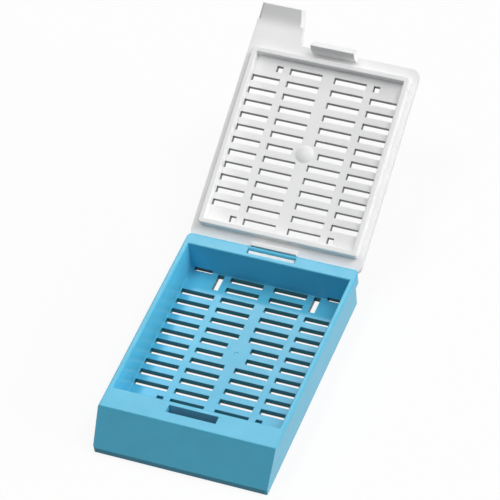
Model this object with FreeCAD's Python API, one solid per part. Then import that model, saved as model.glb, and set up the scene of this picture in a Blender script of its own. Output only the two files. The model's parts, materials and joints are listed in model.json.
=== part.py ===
import FreeCAD, Part
import math
import os

# Tissue cassette: a shallow moulded base with a slotted floor and a slanted writing face,
# and a slotted lid that hooks over a bar in the base's back rim and latches at the front.
# Millimetres. +Z is up, -Y is the writing face, +X is to the right seen from the front.
# The origin is the middle of the base's underside. The lid is drawn closed, then swung open.

Vector = FreeCAD.Vector
X_AXIS = Vector(1, 0, 0)
THROUGH = 2.0                # how far a cutting tool runs past the face it opens
TOUCHING = 1e-6              # two places nearer than this are the same place

# ---- base: outside ----
base_length = 41.15          # front lip to back rim
base_width = 28.5
base_height = 6.3
face_run = 4.15              # how far the writing face slopes out in front of the rim
lip_height = 1.1             # upright strip under the writing face
side_draft = 0.31            # each side leans in by this much at the foot
corner_radius = 2.1          # upright corners of the wall at the back
rim_corner_radius = 1.2      # the same corners of the back rim, which overhangs the wall
front_corner_radius = 0.8
rim_edge_radius = 0.2
face_edge_radius = 0.2       # where the writing face meets the rim
lip_edge_radius = 0.2
rear_rim_overhang = 0.45     # past the wall under it; the overhang is bevelled by as much
rim_sill = 0.95              # strip of back rim left under the hinge pocket, bevel included

# ---- base: well and floor ----
floor_thickness = 0.95
side_rim = 0.84
front_rim = 3.87
rear_rim = 2.37
well_draft_x = 0.22
well_draft_y = 0.4
well_edge_chamfer = 0.12
well_foot_radius = 0.25

slot_rows = 14
slot_pitch = 2.15
slot_width = 1.05
slot_length = 5.52           # inner columns
slot_end_gap = 0.14          # outer columns' slots to the side wall's foot
centre_rib = 1.76            # between the two inner columns
column_rib = 1.13            # between an inner and an outer column
rear_slot_gap = 0.08         # back wall's foot to the first row
plain_end_rows = 2           # rows at each end that the outer columns leave out
pad_inset = 1.05             # middle rows stop this much short, for the gate pad
gate_radius = 0.35
gate_depth = 0.05

corner_slot_length = 3.1     # drain slots cut into the foot of the end walls
corner_slot_inset = 0.5      # from the side wall's foot
corner_slot_reach = 0.67     # into the end wall
corner_slot_lead = 0.23      # into the floor
corner_slot_rise = 0.5

# ---- base: hollow behind the writing face, latch slot ----
shell = 1.0                  # wall of the writing face and of the rim over the hollow
latch_wall = 0.76            # between the latch slot and the well
latch_slot_width = 8.0
latch_slot_depth = 1.39      # front to back

# ---- hinge ----
open_angle = 155.0           # how far the lid stands open
bar_radius = 0.35
bar_gap = 0.08               # round the bar, inside the hook
hook_wall = 0.75
hook_leg = 0.4               # how far the hook's legs pass the middle of the bar
hook_tip_radius = 0.15
swing_gap = 0.08             # round the hook, inside the pocket
hook_width = 7.6
hook_side_gap = 0.2
stop_gap = 0.02              # open lid to the back of the rim

# ---- lid ----
lid_thickness = 1.0
seat_gap = 0.05              # lid's underside to the rim
lid_edge_radius = 0.3
lid_corner_radius = 1.3
ring_gap = 0.2               # ring to the well, all round
ring_wall = 0.85
ring_height = 1.25
ring_corner_radius = 0.5
ring_edge_radius = 0.15

lid_slot_rows = 13
lid_slot_width = 1.05
lid_slot_length = 5.38       # inner columns
lid_outer_slot_length = 4.64
lid_centre_rib = 2.04
lid_column_rib = 1.21
lid_pad_inset = 1.1
boss_radius = 1.5            # low dome in the middle of the panel's underside
boss_height = 0.35

# ---- latch tab ----
tab_side_gap = 0.35
tab_front_gap = 0.48         # latch slot's front edge to the tab
tab_rear_gap = 0.11
tab_depth = 2.6              # below the rim
tab_tip_lead = 0.35          # the tip tapers by this much, front and back
tab_tip_length = 1.0         # of the taper at the back
barb_catch = 0.2             # under the rim
barb_gap = 0.1               # below the rim's inner face
barb_height = 0.4

# ---- finger flap ----
flap_root_width = 8.4
flap_width = 7.8             # where its pad starts
flap_tip_width = 7.0
flap_turn = 27.0             # how far it bends down
flap_bend_radius = 4.0       # of its underside
flap_straight = 1.7          # past the bend
flap_corner_radius = 0.5
pad_length = 2.7             # bevelled end of the flap
pad_bevel = 0.4

# ---- places worked out from the sizes ----
lip_y = -base_length / 2
rim_front_y = lip_y + face_run
rim_rear_y = base_length / 2
well_front_y = rim_front_y + front_rim
well_rear_y = rim_rear_y - rear_rim
well_half = base_width / 2 - side_rim
foot_half = well_half - well_draft_x
foot_front_y = well_front_y + well_draft_y
foot_rear_y = well_rear_y - well_draft_y

pattern_rear_y = foot_rear_y - rear_slot_gap
pattern_length = (slot_rows - 1) * slot_pitch + slot_width
pattern_y = pattern_rear_y - pattern_length / 2
inner_slot_x = centre_rib / 2
outer_slot_x = inner_slot_x + slot_length + column_rib
outer_slot_end = foot_half - slot_end_gap

latch_slot_rear_y = well_front_y - latch_wall
latch_slot_front_y = latch_slot_rear_y - latch_slot_depth

hinge_y = rim_rear_y - bar_radius
hinge_z = base_height - bar_radius
hook_inner = bar_radius + bar_gap
hook_outer = hook_inner + hook_wall
hook_reach = math.hypot(hook_outer, hook_leg)
pocket_radius = hook_reach + swing_gap
pocket_half = hook_width / 2 + hook_side_gap
rear_rim_z = hinge_z - pocket_radius - rim_sill

lid_under_z = base_height + seat_gap
lid_top_z = lid_under_z + lid_thickness
tab_front_y = latch_slot_front_y + tab_front_gap
tab_rear_y = latch_slot_rear_y - tab_rear_gap

flap_slope = math.radians(flap_turn)
bend_run = flap_bend_radius * math.tan(flap_slope / 2)
flap_corner_y = rim_front_y - bend_run
flap_reach = bend_run + flap_straight


def box(x0, x1, y0, y1, z0, z1):
    return Part.makeBox(x1 - x0, y1 - y0, z1 - z0, Vector(x0, y0, z0))


def mirrored_pair(solid):
    return [solid, solid.mirror(Vector(0, 0, 0), X_AXIS)]


def corner(before, point, after, radius):
    """The arc that rounds one corner of an outline, as start, middle and end."""
    back = (before - point).normalize()
    ahead = (after - point).normalize()
    half_angle = back.getAngle(ahead) / 2
    inset = radius / math.tan(half_angle)
    centre = point + (back + ahead).normalize() * (radius / math.sin(half_angle))
    middle = centre + (point - centre).normalize() * radius
    return point + back * inset, middle, point + ahead * inset


def outline(points):
    """A closed wire through (point, corner radius) pairs."""
    count = len(points)
    arcs = []
    for index, (point, radius) in enumerate(points):
        if radius > 0:
            before = points[index - 1][0]
            after = points[(index + 1) % count][0]
            arcs.append(corner(before, point, after, radius))
        else:
            arcs.append((point, None, point))
    edges = []
    for index, (start, middle, end) in enumerate(arcs):
        if middle is not None:
            edges.append(Part.Arc(start, middle, end).toShape())
        next_start = arcs[(index + 1) % count][0]
        if end.distanceToPoint(next_start) > TOUCHING:
            edges.append(Part.LineSegment(end, next_start).toShape())
    return Part.Wire(edges)


def side_prism(half_width, points):
    """An outline of (y, z, radius) drawn from the side, run across the width."""
    wire = outline([(Vector(-half_width, y, z), radius) for y, z, radius in points])
    return Part.Face(wire).extrude(Vector(2 * half_width, 0, 0))


def front_prism(y0, y1, points):
    """An outline of (x, z, radius) drawn from the front, run front to back."""
    wire = outline([(Vector(x, y0, z), radius) for x, z, radius in points])
    return Part.Face(wire).extrude(Vector(0, y1 - y0, 0))


def plan_prism(z0, z1, points):
    """An outline of (x, y, radius) drawn from above, run upward."""
    wire = outline([(Vector(x, y, z0), radius) for x, y, radius in points])
    return Part.Face(wire).extrude(Vector(0, 0, z1 - z0))


def rectangle(half_width, y0, y1, front_radius, rear_radius):
    return [
        (-half_width, y0, front_radius),
        (half_width, y0, front_radius),
        (half_width, y1, rear_radius),
        (-half_width, y1, rear_radius),
    ]


def edges_at_height(solid, z):
    return [edge for edge in solid.Edges
            if abs(edge.BoundBox.ZMin - z) < TOUCHING and abs(edge.BoundBox.ZMax - z) < TOUCHING]


# ---- base ----

def overhanging_rim():
    """The back rim with its own corners, bevelled underneath where it overhangs the wall."""
    rim = plan_prism(rear_rim_z, base_height + THROUGH,
                     rectangle(base_width / 2, well_rear_y, rim_rear_y, 0, rim_corner_radius))
    underneath = edges_at_height(rim, rear_rim_z)
    overhung = [edge for edge in underneath if edge.BoundBox.YMax > well_rear_y + TOUCHING]
    return rim.makeChamfer(rear_rim_overhang, overhung)


def base_block():
    """The solid outside of the base: side, front and plan outlines in common."""
    half = base_width / 2
    lower_rear_y = rim_rear_y - rear_rim_overhang
    side = side_prism(half + THROUGH, [
        (lip_y, 0, lip_edge_radius),
        (lower_rear_y, 0, lip_edge_radius),
        (lower_rear_y, rear_rim_z, 0),
        (rim_rear_y, rear_rim_z, 0),
        (rim_rear_y, base_height, bar_radius),
        (rim_front_y, base_height, face_edge_radius),
        (lip_y, lip_height, lip_edge_radius),
    ])
    front = front_prism(lip_y - THROUGH, rim_rear_y + THROUGH, [
        (-half + side_draft, 0, 0),
        (half - side_draft, 0, 0),
        (half, base_height, rim_edge_radius),
        (-half, base_height, rim_edge_radius),
    ])
    wall = plan_prism(-THROUGH, base_height + THROUGH,
                      rectangle(half, lip_y, lower_rear_y, front_corner_radius, corner_radius))
    return wall.fuse(overhanging_rim()).common(side).common(front)


def well():
    """The hollow of the base, narrower at its foot, with a chamfered mouth."""
    mouth_z = base_height - well_edge_chamfer
    top_z = base_height + THROUGH
    side = side_prism(well_half + THROUGH, [
        (foot_front_y, floor_thickness, well_foot_radius),
        (foot_rear_y, floor_thickness, well_foot_radius),
        (well_rear_y, mouth_z, 0),
        (well_rear_y + well_edge_chamfer, base_height, 0),
        (well_rear_y + well_edge_chamfer, top_z, 0),
        (well_front_y - well_edge_chamfer, top_z, 0),
        (well_front_y - well_edge_chamfer, base_height, 0),
        (well_front_y, mouth_z, 0),
    ])
    mouth_half = well_half + well_edge_chamfer
    front = front_prism(well_front_y - THROUGH, well_rear_y + THROUGH, [
        (-foot_half, floor_thickness, well_foot_radius),
        (foot_half, floor_thickness, well_foot_radius),
        (well_half, mouth_z, 0),
        (mouth_half, base_height, 0),
        (mouth_half, top_z, 0),
        (-mouth_half, top_z, 0),
        (-mouth_half, base_height, 0),
        (-well_half, mouth_z, 0),
    ])
    return side.common(front)


def floor_cut(x0, x1, y0, y1):
    return box(x0, x1, y0, y1, -THROUGH, floor_thickness + THROUGH)


def floor_slots():
    """Four columns of cross slots, with a short lengthwise slot at each outer corner."""
    middle_rows = (slot_rows // 2 - 1, slot_rows - slot_rows // 2)
    last_full_row = slot_rows - 1 - plain_end_rows
    cuts = []
    for row in range(slot_rows):
        y1 = pattern_rear_y - row * slot_pitch
        y0 = y1 - slot_width
        inset = pad_inset if row in middle_rows else 0
        cuts += mirrored_pair(floor_cut(inner_slot_x + inset, inner_slot_x + slot_length, y0, y1))
        if plain_end_rows <= row <= last_full_row:
            cuts += mirrored_pair(floor_cut(outer_slot_x, outer_slot_end, y0, y1))
    end_length = (plain_end_rows - 1) * slot_pitch + slot_width
    pattern_front_y = pattern_rear_y - pattern_length
    for y0 in (pattern_front_y, pattern_rear_y - end_length):
        cuts += mirrored_pair(floor_cut(outer_slot_x, outer_slot_x + slot_width, y0, y0 + end_length))
    return cuts


def corner_slots():
    """Drain slots along the foot of the back and front walls, at the outer corners."""
    x1 = foot_half - corner_slot_inset
    x0 = x1 - corner_slot_length
    top_z = floor_thickness + corner_slot_rise
    rear = box(x0, x1, foot_rear_y - corner_slot_lead, foot_rear_y + corner_slot_reach,
               -THROUGH, top_z)
    front = box(x0, x1, foot_front_y - corner_slot_reach, foot_front_y + corner_slot_lead,
                -THROUGH, top_z)
    return mirrored_pair(rear) + mirrored_pair(front)


def face_hollow():
    """The space behind the writing face, open below, that the latch snaps into."""
    slope = math.atan2(base_height - lip_height, face_run)
    roof_z = base_height - shell
    inner_lip_y = lip_y + shell
    # the writing face's inner plane is the outer one moved back by the wall, square to it
    plane_shift = shell / math.sin(slope)
    roof_front_y = rim_front_y + plane_shift - shell / math.tan(slope)
    lip_roof_z = base_height - (rim_front_y + plane_shift - inner_lip_y) * math.tan(slope)
    return side_prism(foot_half, [
        (inner_lip_y, -THROUGH, 0),
        (latch_slot_rear_y, -THROUGH, 0),
        (latch_slot_rear_y, roof_z, 0),
        (roof_front_y, roof_z, 0),
        (inner_lip_y, lip_roof_z, 0),
    ])


def latch_slot():
    half = latch_slot_width / 2
    return box(-half, half, latch_slot_front_y, latch_slot_rear_y,
               base_height - shell - THROUGH, base_height + THROUGH)


def hinge_pocket():
    """The pocket in the back rim that the hook swings in, leaving the round bar."""
    pocket = box(-pocket_half, pocket_half, hinge_y - pocket_radius, rim_rear_y + THROUGH,
                 hinge_z - pocket_radius, base_height + THROUGH)
    bar = Part.makeCylinder(bar_radius, 2 * pocket_half + 2 * THROUGH,
                            Vector(-pocket_half - THROUGH, hinge_y, hinge_z), X_AXIS)
    return pocket.cut(bar)


def gate_mark():
    return Part.makeCylinder(gate_radius, THROUGH, Vector(0, pattern_y, floor_thickness - gate_depth))


def make_base():
    tools = [well(), face_hollow(), latch_slot(), hinge_pocket(), gate_mark()]
    tools += floor_slots() + corner_slots()
    return base_block().cut(tools).removeSplitter()


# ---- lid, drawn closed ----

def lid_plate():
    """The flange and panel: one plate with rounded corners and a rounded upper edge."""
    half = base_width / 2
    rear_y = rim_rear_y + bar_radius
    side = side_prism(half + THROUGH, [
        (tab_front_y, lid_under_z, 0),
        (rear_y, lid_under_z, 0),
        (rear_y, lid_top_z, 0),
        (tab_front_y, lid_top_z, lid_edge_radius),
    ])
    front = front_prism(tab_front_y - THROUGH, rear_y + THROUGH, [
        (-half, lid_under_z, 0),
        (half, lid_under_z, 0),
        (half, lid_top_z, lid_edge_radius),
        (-half, lid_top_z, lid_edge_radius),
    ])
    plan = plan_prism(lid_under_z - THROUGH, lid_top_z + THROUGH, [
        (-half, tab_front_y, 0),
        (half, tab_front_y, lid_corner_radius),
        (half, hinge_y, lid_corner_radius),
        (-half, hinge_y, lid_corner_radius),
    ])
    return side.common(front).common(plan)


def stop_cut():
    """The base's back at full opening, which bevels the lid's rear edge into a stop."""
    size = base_width
    back = box(-size, size, hinge_y - size, rim_rear_y + stop_gap, hinge_z - size, hinge_z)
    return back.rotate(Vector(0, hinge_y, hinge_z), X_AXIS, open_angle)


def ring():
    """The rim that drops inside the well all round the panel."""
    half = well_half - ring_gap
    y0 = well_front_y + ring_gap
    y1 = well_rear_y - ring_gap
    z0 = lid_under_z - ring_height
    z1 = lid_under_z + lid_thickness / 2
    radius = ring_corner_radius
    outer = plan_prism(z0, z1, rectangle(half, y0, y1, radius, radius))
    inner = plan_prism(z0 - THROUGH, lid_under_z,
                       rectangle(half - ring_wall, y0 + ring_wall, y1 - ring_wall, 0, 0))
    wall = outer.cut(inner)
    return wall.makeFillet(ring_edge_radius, edges_at_height(wall, z0))


def hook():
    """A C-shaped hook over the bar, open downward, set in the lid's rear edge."""
    inner = hook_inner
    outer = hook_outer
    y, z = hinge_y, hinge_z
    foot_z = z - hook_leg
    tip = hook_tip_radius
    x = -hook_width / 2

    def at(dy, height):
        return Vector(x, y + dy, height)

    legs = [
        (at(-outer, z), 0), (at(-outer, foot_z), tip), (at(-inner, foot_z), tip), (at(-inner, z), 0),
    ]
    front_leg = Part.Face(outline(legs))
    rear_leg = front_leg.mirror(Vector(0, y, 0), Vector(0, 1, 0))
    arch = Part.Face(Part.Wire([
        Part.Arc(at(-outer, z), at(0, z + outer), at(outer, z)).toShape(),
        Part.LineSegment(at(outer, z), at(inner, z)).toShape(),
        Part.Arc(at(inner, z), at(0, z + inner), at(-inner, z)).toShape(),
        Part.LineSegment(at(-inner, z), at(-outer, z)).toShape(),
    ]))
    run = Vector(hook_width, 0, 0)
    section = [face.extrude(run) for face in (front_leg, rear_leg, arch)]
    return section[0].fuse(section[1:])


def latch_tab():
    """The snap tab in the latch slot, with a barb that catches under the rim."""
    half = latch_slot_width / 2 - tab_side_gap
    root_z = lid_under_z + lid_thickness / 2
    catch_z = base_height - shell - barb_gap
    tip_z = base_height - tab_depth
    barb_y = latch_slot_front_y - barb_catch
    return side_prism(half, [
        (tab_front_y, root_z, 0),
        (tab_front_y, catch_z, 0),
        (barb_y, catch_z, 0),
        (barb_y, catch_z - barb_height, 0),
        (tab_front_y + tab_tip_lead, tip_z, 0),
        (tab_rear_y - tab_tip_lead, tip_z, 0),
        (tab_rear_y, tip_z + tab_tip_length, 0),
        (tab_rear_y, root_z, 0),
    ])


def on_flap(x, distance, rise):
    """A point this far down the flap's slope from its corner, and this far off its underside."""
    y = flap_corner_y - distance * math.cos(flap_slope) - rise * math.sin(flap_slope)
    z = lid_under_z - distance * math.sin(flap_slope) + rise * math.cos(flap_slope)
    return Vector(x, y, z)


def bent_sheet():
    """The lid's front edge run on over the rim and down, as wide as the lid."""
    root_y = tab_front_y + lid_edge_radius
    top_corner_y = flap_corner_y - lid_thickness * math.tan(flap_slope / 2)
    tip_under = on_flap(0, flap_reach, 0)
    tip_top = on_flap(0, flap_reach, lid_thickness)
    return side_prism(base_width / 2, [
        (root_y, lid_under_z, 0),
        (root_y, lid_top_z, 0),
        (top_corner_y, lid_top_z, flap_bend_radius + lid_thickness),
        (tip_top.y, tip_top.z, lid_edge_radius),
        (tip_under.y, tip_under.z, 0),
        (flap_corner_y, lid_under_z, flap_bend_radius),
    ])


def pad_side_bevel(x, taper, inward):
    """A wedge along one side of the flap's pad that bevels the side's lower edge."""
    start = flap_reach - pad_length
    far = 2 * pad_bevel
    corners = [(inward * far, -pad_bevel), (-inward * pad_bevel, -pad_bevel), (-inward * pad_bevel, far)]
    points = [on_flap(x + across, start, rise) for across, rise in corners]
    side = on_flap(taper, flap_reach, 0) - on_flap(0, start, 0)
    past_tip = 1 + THROUGH / pad_length
    return Part.Face(Part.makePolygon(points + points[:1])).extrude(side * past_tip)


def finger_flap():
    """The tongue at the front left that bends down, with a narrower, bevelled pad at its end."""
    left = -base_width / 2
    right = left + flap_width
    root_right = left + flap_root_width
    taper = (flap_width - flap_tip_width) / 2
    root_y = tab_front_y + lid_edge_radius
    pad_y = on_flap(0, flap_reach - pad_length, 0).y
    tip_y = on_flap(0, flap_reach, lid_thickness).y
    plan = plan_prism(0, lid_top_z + THROUGH, [
        (left, pad_y, 0),
        (left + taper, tip_y, flap_corner_radius),
        (right - taper, tip_y, flap_corner_radius),
        (right, pad_y, 0),
        (root_right, tab_front_y, 0),
        (root_right, root_y, 0),
        (left, root_y, 0),
    ])
    bevels = [pad_side_bevel(left, taper, 1), pad_side_bevel(right, -taper, -1)]
    return bent_sheet().common(plan).cut(bevels)


def boss():
    """A low dome under the panel's middle."""
    z0 = lid_under_z - boss_height
    sphere_radius = (boss_radius ** 2 + boss_height ** 2) / (2 * boss_height)
    sphere = Part.makeSphere(sphere_radius, Vector(0, pattern_y, z0 + sphere_radius))
    half = base_width / 2
    return sphere.common(box(-half, half, pattern_y - half, pattern_y + half,
                             z0 - THROUGH, lid_under_z + lid_thickness / 2))


def lid_cut(x0, x1, y):
    half = lid_slot_width / 2
    return box(x0, x1, y - half, y + half, lid_under_z - THROUGH, lid_top_z + THROUGH)


def lid_slots():
    """Cross slots at the base's pitch, with small square holes at the outer corners."""
    inner_x = lid_centre_rib / 2
    outer_x = inner_x + lid_slot_length + lid_column_rib
    middle_row = lid_slot_rows // 2
    cuts = []
    for row in range(lid_slot_rows):
        y = pattern_y + (middle_row - row) * slot_pitch
        inset = lid_pad_inset if row == middle_row else 0
        end_row = row in (0, lid_slot_rows - 1)
        outer_length = lid_slot_width if end_row else lid_outer_slot_length
        cuts += mirrored_pair(lid_cut(inner_x + inset, inner_x + lid_slot_length, y))
        cuts += mirrored_pair(lid_cut(outer_x, outer_x + outer_length, y))
    return cuts


def make_lid():
    plate = lid_plate().fuse(finger_flap()).cut(stop_cut())
    closed = plate.fuse([ring(), hook(), latch_tab(), boss()])
    closed = closed.cut(lid_slots()).removeSplitter()
    return closed.rotate(Vector(0, hinge_y, hinge_z), X_AXIS, -open_angle)


def save(name, shape):
    solid = shape.Solids[0] if len(shape.Solids) == 1 else shape
    solid.exportStep("parts/" + name + ".step")
    print(name, "solids", len(shape.Solids), "valid", shape.isValid(), "volume mm3", round(shape.Volume, 1))


os.makedirs("parts", exist_ok=True)
save("base", make_base())
save("lid", make_lid())
print("hinge y", round(hinge_y, 3), "z", round(hinge_z, 3))
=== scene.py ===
"""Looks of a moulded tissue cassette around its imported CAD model."""

import json
import math

import bpy
from mathutils import Matrix, Vector


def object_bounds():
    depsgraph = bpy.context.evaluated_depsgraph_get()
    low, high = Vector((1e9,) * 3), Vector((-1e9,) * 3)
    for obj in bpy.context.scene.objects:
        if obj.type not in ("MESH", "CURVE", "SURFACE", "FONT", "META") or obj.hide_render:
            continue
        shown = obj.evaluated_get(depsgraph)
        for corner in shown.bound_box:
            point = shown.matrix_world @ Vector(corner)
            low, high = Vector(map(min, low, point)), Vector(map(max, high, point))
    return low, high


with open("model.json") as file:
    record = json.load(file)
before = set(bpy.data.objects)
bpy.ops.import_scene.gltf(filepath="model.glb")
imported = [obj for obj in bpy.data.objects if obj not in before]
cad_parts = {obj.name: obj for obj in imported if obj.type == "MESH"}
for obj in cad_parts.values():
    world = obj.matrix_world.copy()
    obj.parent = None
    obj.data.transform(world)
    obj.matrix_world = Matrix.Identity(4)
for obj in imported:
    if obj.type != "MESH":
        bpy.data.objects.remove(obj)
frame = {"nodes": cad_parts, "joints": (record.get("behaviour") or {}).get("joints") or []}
cad_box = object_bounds()

MM = 0.001
QUARTER_TURN = math.pi / 2
OPAQUE = 1.0                 # alpha of every colour

# ---- camera ----
CAMERA_PLACE = Vector((139.93, -279.11, 362.07)) * MM
CAMERA_AZIMUTH = math.radians(25.66)
CAMERA_ELEVATION = math.radians(47.03)
CAMERA_ROLL = math.radians(-6.53)
CAMERA_LENS = 224.76
CAMERA_SENSOR = 36.0
CAMERA_NEAREST = 10 * MM     # what is nearer than this is not drawn

# ---- light: direction towards each soft lamp, strength, width in degrees ----
LAMPS = {
    "key": ((0.45, 0.27, 0.85), 1.25, 30),
    "side": ((0.98, 0.08, 0.17), 1.7, 30),
    "back": ((-0.295, 0.614, 0.732), 0.4, 7),
    "fill": ((-0.295, -0.158, 0.936), 0.65, 20),
}

# ---- surroundings: white where they are seen, and weaker where they only light the part ----
SKY_COLOUR = (1.0, 1.0, 1.0)
SKY_SEEN = 1.0
SKY_LEVEL = 0.19
FLOOR_SIZE = 6.0
FLOOR_GAP = 0.05 * MM        # under the part, so that the two faces are never in one plane
FLOOR_GLOW = 0.9             # share of the floor's own light where it is seen; the rest shows shadow
FLOOR_SEEN = (0.95, 0.95, 0.95)
FLOOR_BOUNCE = (0.15, 0.15, 0.15)

# ---- plastics: colours are linear ----
# Light alone leaves the slots' walls paler than they look on the object, so the material paints
# shade on them: it multiplies its colour there by a darker factor.
BASE_FINISH = {
    "name": "blue_plastic",
    "colour": (0.11, 0.53, 0.76),
    "mottle": 0.03,
    "roughness": 0.24,
    "gloss": 0.14,
    # painted shade: the factor that darkens the slots' walls
    "painted_slot_shade": (0.05, 0.52, 0.46),
}
LID_FINISH = {
    "name": "white_plastic",
    "colour": (0.95, 0.95, 0.95),
    "mottle": 0.015,
    "roughness": 0.40,
    "gloss": 0.3,
    # painted shade: the factor that darkens the slots' walls
    "painted_slot_shade": (0.30, 0.30, 0.31),
}
PLASTIC_IOR = 1.48

# ---- the boxes that hold each part's slots while the lid is closed, where shade is painted on the walls: middle and half size ----
BASE_SLOTS = (Vector((0, 2.65, 0.45)) * MM, Vector((13.1, 15.95, 0.48)) * MM)
LID_SLOTS = (Vector((0, 3.2, 6.85)) * MM, Vector((12.3, 13.5, 0.48)) * MM)
WALL_SLOPE = 0.5             # a slot's wall has a normal that rises less than this

# ---- surface detail: feature sizes and depths in millimetres ----
MOTTLE_SIZE = 4.0
MOTTLE_DETAIL = 3
MOTTLE_BAND = (0.3, 0.7)     # the noise values at which the two shades are reached
SHEEN_SIZE = 1.5
SHEEN_DETAIL = 2
SHEEN_SPREAD = 0.08          # from the smoothest patch's roughness to the roughest's
EDGE_RADIUS = 0.1
EDGE_RAYS = 6
SINK = {"feature": 3.0, "detail": 1, "strength": 0.05, "depth": 0.1}
GRAIN = {"feature": 0.12, "detail": 2, "strength": 0.1, "depth": 0.005}


class Nodes:
    """A material's or world's node tree, with short calls to add and join nodes."""

    def __init__(self, owner):
        owner.use_nodes = True
        self.tree = owner.node_tree
        self.tree.nodes.clear()

    def add(self, kind, **settings):
        node = self.tree.nodes.new(kind)
        for name, value in settings.items():
            setattr(node, name, value)
        return node

    def join(self, source, target):
        self.tree.links.new(source, target)

    def worked_out(self, kind, operation, values):
        """A sum's result; each value is a constant or the socket that gives it."""
        node = self.add(kind, operation=operation)
        for socket, value in zip(node.inputs, values):
            if isinstance(value, bpy.types.NodeSocket):
                self.join(value, socket)
            else:
                socket.default_value = value
        return node.outputs[0]

    def math(self, operation, *values):
        return self.worked_out("ShaderNodeMath", operation, values)

    def vector_math(self, operation, *values):
        return self.worked_out("ShaderNodeVectorMath", operation, values)

    def noise(self, coordinates, feature, detail):
        """Noise whose features are about this many millimetres across."""
        node = self.add("ShaderNodeTexNoise")
        node.inputs["Scale"].default_value = 1 / (feature * MM)
        node.inputs["Detail"].default_value = detail
        self.join(coordinates, node.inputs["Vector"])
        return node.outputs["Fac"]


def opaque(colour):
    return (*colour, OPAQUE)


def shade(colour, factor):
    return tuple(channel * factor for channel in colour)


# ---- where a part's slots are, to paint shade on their walls ----

def closed(nodes, vector, pivot, angle):
    """The vector as it lies once the part has turned by the angle about the pivot."""
    turn = nodes.add("ShaderNodeVectorRotate", rotation_type="X_AXIS")
    turn.inputs["Center"].default_value = pivot
    turn.inputs["Angle"].default_value = angle
    nodes.join(vector, turn.inputs["Vector"])
    return turn.outputs["Vector"]


def upright(nodes, normal):
    """1 on faces that stand square to the plate, else 0."""
    split = nodes.add("ShaderNodeSeparateXYZ")
    nodes.join(normal, split.inputs["Vector"])
    rise = nodes.math("ABSOLUTE", split.outputs["Z"])
    return nodes.math("LESS_THAN", rise, WALL_SLOPE)


def inside(nodes, place, middle, half_size):
    """1 inside the box, else 0."""
    offset = nodes.vector_math("SUBTRACT", place, middle)
    distance = nodes.vector_math("ABSOLUTE", offset)
    split = nodes.add("ShaderNodeSeparateXYZ")
    nodes.join(nodes.vector_math("SUBTRACT", distance, half_size), split.inputs["Vector"])
    across = nodes.math("MAXIMUM", split.outputs["X"], split.outputs["Y"])
    farthest = nodes.math("MAXIMUM", across, split.outputs["Z"])
    return nodes.math("LESS_THAN", farthest, 0)


def slot_walls(nodes, source, slots, pivot, angle):
    """1 on the walls of the part's slots, where shade is painted, else 0."""
    place = closed(nodes, source.outputs["Object"], pivot, angle)
    normal = closed(nodes, source.outputs["Normal"], Vector(), angle)
    return nodes.math("MULTIPLY", inside(nodes, place, *slots), upright(nodes, normal))


# ---- moulded plastic ----

def mottled(nodes, place, colour, spread):
    """The colour in two close shades, as moulded plastic has."""
    ramp = nodes.add("ShaderNodeValToRGB")
    dark, light = ramp.color_ramp.elements
    dark.position, light.position = MOTTLE_BAND
    dark.color = opaque(shade(colour, 1 - spread))
    light.color = opaque(shade(colour, 1 + spread))
    nodes.join(nodes.noise(place, MOTTLE_SIZE, MOTTLE_DETAIL), ramp.inputs["Fac"])
    return ramp.outputs["Color"]


def with_painted_shade(nodes, colour, walls, factor):
    """The colour, times the factor where walls is 1: shade painted on the slots' walls."""
    tint = nodes.add("ShaderNodeMix", data_type="RGBA", blend_type="MULTIPLY")
    nodes.join(walls, tint.inputs["Factor"])
    nodes.join(colour, tint.inputs["A"])
    tint.inputs["B"].default_value = opaque(factor)
    return tint.outputs["Result"]


def patchy(nodes, place, roughness):
    """The roughness, a little more or less from patch to patch."""
    patches = nodes.noise(place, SHEEN_SIZE, SHEEN_DETAIL)
    smoothest = roughness - SHEEN_SPREAD / 2
    return nodes.math("MULTIPLY_ADD", patches, SHEEN_SPREAD, smoothest)


def bump(nodes, place, normal, feature, detail, strength, depth):
    bumps = nodes.add("ShaderNodeBump")
    bumps.inputs["Strength"].default_value = strength
    bumps.inputs["Distance"].default_value = depth * MM
    nodes.join(nodes.noise(place, feature, detail), bumps.inputs["Height"])
    nodes.join(normal, bumps.inputs["Normal"])
    return bumps.outputs["Normal"]


def moulded_normal(nodes, place):
    """The surface with slightly eased edges, shallow sinks and a fine grain."""
    eased = nodes.add("ShaderNodeBevel", samples=EDGE_RAYS)
    eased.inputs["Radius"].default_value = EDGE_RADIUS * MM
    sunk = bump(nodes, place, eased.outputs["Normal"], **SINK)
    return bump(nodes, place, sunk, **GRAIN)


def moulded_plastic(finish, slots, pivot, angle):
    """Moulded plastic with shade painted on the walls of the slots; the angle closes the part."""
    material = bpy.data.materials.new(finish["name"])
    nodes = Nodes(material)
    source = nodes.add("ShaderNodeTexCoord")
    place = source.outputs["Object"]
    shader = nodes.add("ShaderNodeBsdfPrincipled")
    output = nodes.add("ShaderNodeOutputMaterial")
    nodes.join(shader.outputs["BSDF"], output.inputs["Surface"])
    shader.inputs["IOR"].default_value = PLASTIC_IOR
    shader.inputs["Specular IOR Level"].default_value = finish["gloss"]

    colour = mottled(nodes, place, finish["colour"], finish["mottle"])
    walls = slot_walls(nodes, source, slots, pivot, angle)
    # paint shade on the slots' walls
    nodes.join(with_painted_shade(nodes, colour, walls, finish["painted_slot_shade"]), shader.inputs["Base Color"])
    nodes.join(patchy(nodes, place, finish["roughness"]), shader.inputs["Roughness"])
    nodes.join(moulded_normal(nodes, place), shader.inputs["Normal"])
    return material


def dress(node, material):
    data = frame["nodes"][node].data
    data.materials.clear()
    data.materials.append(material)


# ---- floor, sky, lamps and camera ----

def seen(nodes):
    """1 for rays from the camera, straight, mirrored or let through, else 0."""
    path = nodes.add("ShaderNodeLightPath")
    mirrored = nodes.math("MAXIMUM", path.outputs["Is Camera Ray"], path.outputs["Is Glossy Ray"])
    return nodes.math("MAXIMUM", mirrored, path.outputs["Is Transmission Ray"])


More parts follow.
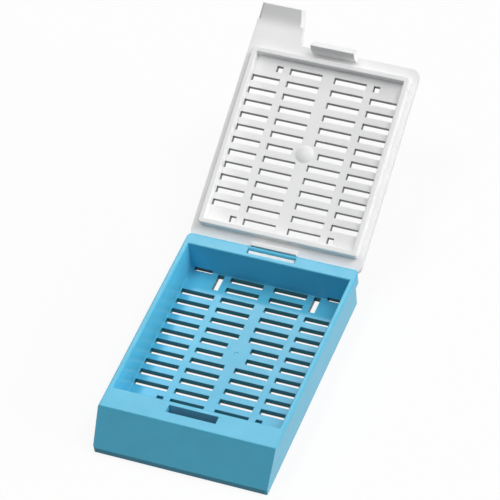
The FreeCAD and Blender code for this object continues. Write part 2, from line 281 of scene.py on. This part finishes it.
def floor_white():
    """White that the camera sees almost at its full level, with a faint shadow."""
    material = bpy.data.materials.new("floor_white")
    nodes = Nodes(material)
    diffuse = nodes.add("ShaderNodeBsdfDiffuse")
    colour = nodes.add("ShaderNodeMix", data_type="RGBA")
    colour.inputs["A"].default_value = opaque(FLOOR_BOUNCE)
    colour.inputs["B"].default_value = opaque(FLOOR_SEEN)
    glow = nodes.add("ShaderNodeEmission")
    mix = nodes.add("ShaderNodeMixShader")
    output = nodes.add("ShaderNodeOutputMaterial")
    in_view = seen(nodes)
    nodes.join(in_view, colour.inputs["Factor"])
    nodes.join(colour.outputs["Result"], diffuse.inputs["Color"])
    glow_share, plain, glowing = mix.inputs
    nodes.join(nodes.math("MULTIPLY", in_view, FLOOR_GLOW), glow_share)
    nodes.join(diffuse.outputs["BSDF"], plain)
    nodes.join(glow.outputs["Emission"], glowing)
    nodes.join(mix.outputs["Shader"], output.inputs["Surface"])
    return material


def make_floor():
    """A wide plane just under the part."""
    bpy.ops.mesh.primitive_plane_add(size=FLOOR_SIZE, location=(0, 0, cad_box[0][2] - FLOOR_GAP))
    floor = bpy.context.object
    floor.name = "floor"
    floor.data.materials.append(floor_white())


def make_sky():
    """An even white sky, weaker as a light than it looks."""
    world = bpy.data.worlds.new("sky")
    bpy.context.scene.world = world
    nodes = Nodes(world)
    background = nodes.add("ShaderNodeBackground")
    output = nodes.add("ShaderNodeOutputWorld")
    background.inputs["Color"].default_value = opaque(SKY_COLOUR)
    strength = nodes.math("MULTIPLY_ADD", seen(nodes), SKY_SEEN - SKY_LEVEL, SKY_LEVEL)
    nodes.join(strength, background.inputs["Strength"])
    nodes.join(background.outputs["Background"], output.inputs["Surface"])


def make_lamp(name, direction, strength, width):
    """A distant lamp that shines from the direction."""
    lamp = bpy.data.lights.new(name, "SUN")
    lamp.energy = strength
    lamp.angle = math.radians(width)
    holder = bpy.data.objects.new(name, lamp)
    holder.rotation_euler = Vector(direction).to_track_quat("Z", "Y").to_euler()
    bpy.context.collection.objects.link(holder)


def rotation(angle, axis):
    """A turn about the axis, as the 4 by 4 matrix that an object's place takes."""
    return Matrix.Rotation(angle, 4, axis)


def make_camera():
    lens = bpy.data.cameras.new("camera")
    lens.lens = CAMERA_LENS
    lens.sensor_width = CAMERA_SENSOR
    lens.clip_start = CAMERA_NEAREST
    camera = bpy.data.objects.new("camera", lens)
    turn = (rotation(CAMERA_AZIMUTH, "Z")
            @ rotation(QUARTER_TURN - CAMERA_ELEVATION, "X")
            @ rotation(CAMERA_ROLL, "Z"))
    camera.matrix_world = Matrix.Translation(CAMERA_PLACE) @ turn
    bpy.context.collection.objects.link(camera)
    bpy.context.scene.camera = camera


(hinge,) = frame["joints"]
hinge_place = Vector(hinge["pos_m"])
closing_turn = math.radians(hinge["range_deg"][1])
dress("base", moulded_plastic(BASE_FINISH, BASE_SLOTS, Vector(), 0))
dress("lid", moulded_plastic(LID_FINISH, LID_SLOTS, hinge_place, closing_turn))
make_floor()
make_sky()
for lamp_name, settings in LAMPS.items():
    make_lamp(lamp_name, *settings)
make_camera()
bpy.context.scene.view_settings.view_transform = "Standard"
